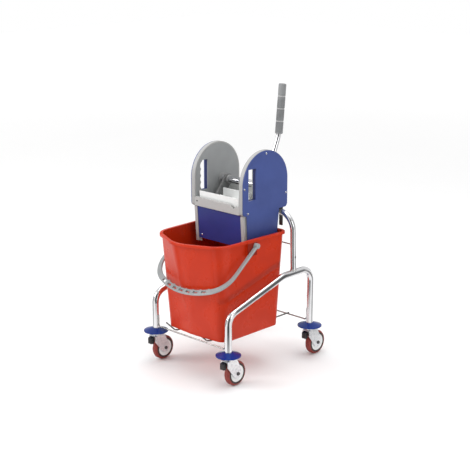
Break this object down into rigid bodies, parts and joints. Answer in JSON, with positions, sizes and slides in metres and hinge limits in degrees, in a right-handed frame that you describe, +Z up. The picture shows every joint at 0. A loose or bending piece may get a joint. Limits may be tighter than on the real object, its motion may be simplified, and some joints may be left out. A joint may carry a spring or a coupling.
{
  "type": "mop bucket trolley with wringer",
  "caption": "Chromed tube trolley on swivel castors with bumper discs, a tapered red bucket with bail handle, and an arched jaw wringer worked by a hand lever.",
  "frame": {"origin": "on the floor, midway between the four castor stems", "axes": "+X to the trolley's right, +Y to its rear (lever and hoop side), +Z up; the bucket's pouring nose points to -Y"},
  "size_m": [0.41, 0.5186, 0.9074],
  "materials": {
    "chrome_tube": "polished chrome plating",
    "chrome_wire": "chrome plated wire",
    "blue_plastic": "smooth moulded plastic",
    "black_plastic": "matt moulded plastic",
    "zinc_steel": "bright zinc plated pressed steel",
    "white_plastic": "smooth moulded plastic",
    "red_tyre": "red-brown solid tyre",
    "red_plastic": "smooth moulded polypropylene",
    "handle_plastic": "smooth moulded plastic",
    "grey_plastic": "fine-grained moulded plastic",
    "rivet_steel": "bright rivets",
    "black_steel": "black paint",
    "grey_steel": "grey enamel",
    "grip_rubber": "ribbed soft grip"
  },
  "bodies": {
    "trolley": {"side_tube_left": "chrome_tube", "side_tube_right": "chrome_tube", "hoop_tube": "chrome_tube", "hoop_wire": "chrome_wire", "front_wire": "chrome_wire", "rear_wire": "chrome_wire", "bucket_rests": "chrome_wire", "castor_sockets": "black_plastic", "bumper_disc_front_left": "blue_plastic", "bumper_disc_front_right": "blue_plastic", "bumper_disc_rear_left": "blue_plastic", "bumper_disc_rear_right": "blue_plastic"},
    "bucket_body": {"bucket": "red_plastic"},
    "bail_handle": {"bail": "handle_plastic"},
    "wringer": {"side_plate_left": "grey_plastic", "side_plate_right": "grey_plastic", "side_cover_left": "blue_plastic", "side_cover_right": "blue_plastic", "cover_rivets": "rivet_steel", "front_frame": "grey_plastic", "front_panel": "blue_plastic", "front_jaw": "white_plastic", "rear_panel": "white_plastic", "drain_floor": "grey_plastic", "rear_hooks": "black_steel", "shaft_bushes": "grey_plastic"},
    "press": {"cross_shaft": "chrome_tube", "crank_arm_left": "grey_steel", "crank_arm_right": "grey_steel", "jaw_rod": "black_steel", "moving_jaw": "white_plastic", "lever_tube": "chrome_tube", "lever_grip": "grip_rubber"},
    "castor_front_left": {"castor_stem_front_left": "zinc_steel", "fork_front_left": "zinc_steel", "fork_buffer_front_left": "black_plastic", "axle_bolt_front_left": "zinc_steel"},
    "wheel_front_left": {"wheel_hub_front_left": "white_plastic", "tyre_front_left": "red_tyre"},
    "castor_front_right": {"castor_stem_front_right": "zinc_steel", "fork_front_right": "zinc_steel", "fork_buffer_front_right": "black_plastic", "axle_bolt_front_right": "zinc_steel"},
    "wheel_front_right": {"wheel_hub_front_right": "white_plastic", "tyre_front_right": "red_tyre"},
    "castor_rear_left": {"castor_stem_rear_left": "zinc_steel", "fork_rear_left": "zinc_steel", "fork_buffer_rear_left": "black_plastic", "axle_bolt_rear_left": "zinc_steel"},
    "wheel_rear_left": {"wheel_hub_rear_left": "white_plastic", "tyre_rear_left": "red_tyre"},
    "castor_rear_right": {"castor_stem_rear_right": "zinc_steel", "fork_rear_right": "zinc_steel", "fork_buffer_rear_right": "black_plastic", "axle_bolt_rear_right": "zinc_steel"},
    "wheel_rear_right": {"wheel_hub_rear_right": "white_plastic", "tyre_rear_right": "red_tyre"}
  },
  "joints": [
    {"name": "bucket_lift", "type": "slide", "parent": "trolley", "child": "bucket_body", "axis": [0, 0, 1], "range_m": [0, 0.35]},
    {"name": "bail_swing", "type": "hinge", "parent": "bucket_body", "child": "bail_handle", "pos_m": [0, -0.058, 0.428], "axis": [-1, 0, 0], "range_deg": [0, 118]},
    {"name": "wringer_lift", "type": "slide", "parent": "bucket_body", "child": "wringer", "axis": [0, 0, 1], "range_m": [0, 0.35]},
    {"name": "press_lever", "type": "hinge", "parent": "wringer", "child": "press", "pos_m": [0, 0.052, 0.588], "axis": [-1, 0, 0], "range_deg": [0, 38]},
    {"name": "castor_swivel_front_left", "type": "hinge", "parent": "trolley", "child": "castor_front_left", "pos_m": [-0.165, -0.193, 0.12], "axis": [0, 0, 1], "continuous": true},
    {"name": "wheel_spin_front_left", "type": "hinge", "parent": "castor_front_left", "child": "wheel_front_left", "pos_m": [-0.165, -0.164, 0.04], "axis": [1, 0, 0], "continuous": true},
    {"name": "castor_swivel_front_right", "type": "hinge", "parent": "trolley", "child": "castor_front_right", "pos_m": [0.165, -0.193, 0.12], "axis": [0, 0, 1], "continuous": true},
    {"name": "wheel_spin_front_right", "type": "hinge", "parent": "castor_front_right", "child": "wheel_front_right", "pos_m": [0.165, -0.164, 0.04], "axis": [1, 0, 0], "continuous": true},
    {"name": "castor_swivel_rear_left", "type": "hinge", "parent": "trolley", "child": "castor_rear_left", "pos_m": [-0.165, 0.193, 0.12], "axis": [0, 0, 1], "continuous": true},
    {"name": "wheel_spin_rear_left", "type": "hinge", "parent": "castor_rear_left", "child": "wheel_rear_left", "pos_m": [-0.165, 0.222, 0.04], "axis": [1, 0, 0], "continuous": true},
    {"name": "castor_swivel_rear_right", "type": "hinge", "parent": "trolley", "child": "castor_rear_right", "pos_m": [0.165, 0.193, 0.12], "axis": [0, 0, 1], "continuous": true},
    {"name": "wheel_spin_rear_right", "type": "hinge", "parent": "castor_rear_right", "child": "wheel_rear_right", "pos_m": [0.165, 0.222, 0.04], "axis": [1, 0, 0], "continuous": true}
  ]
}
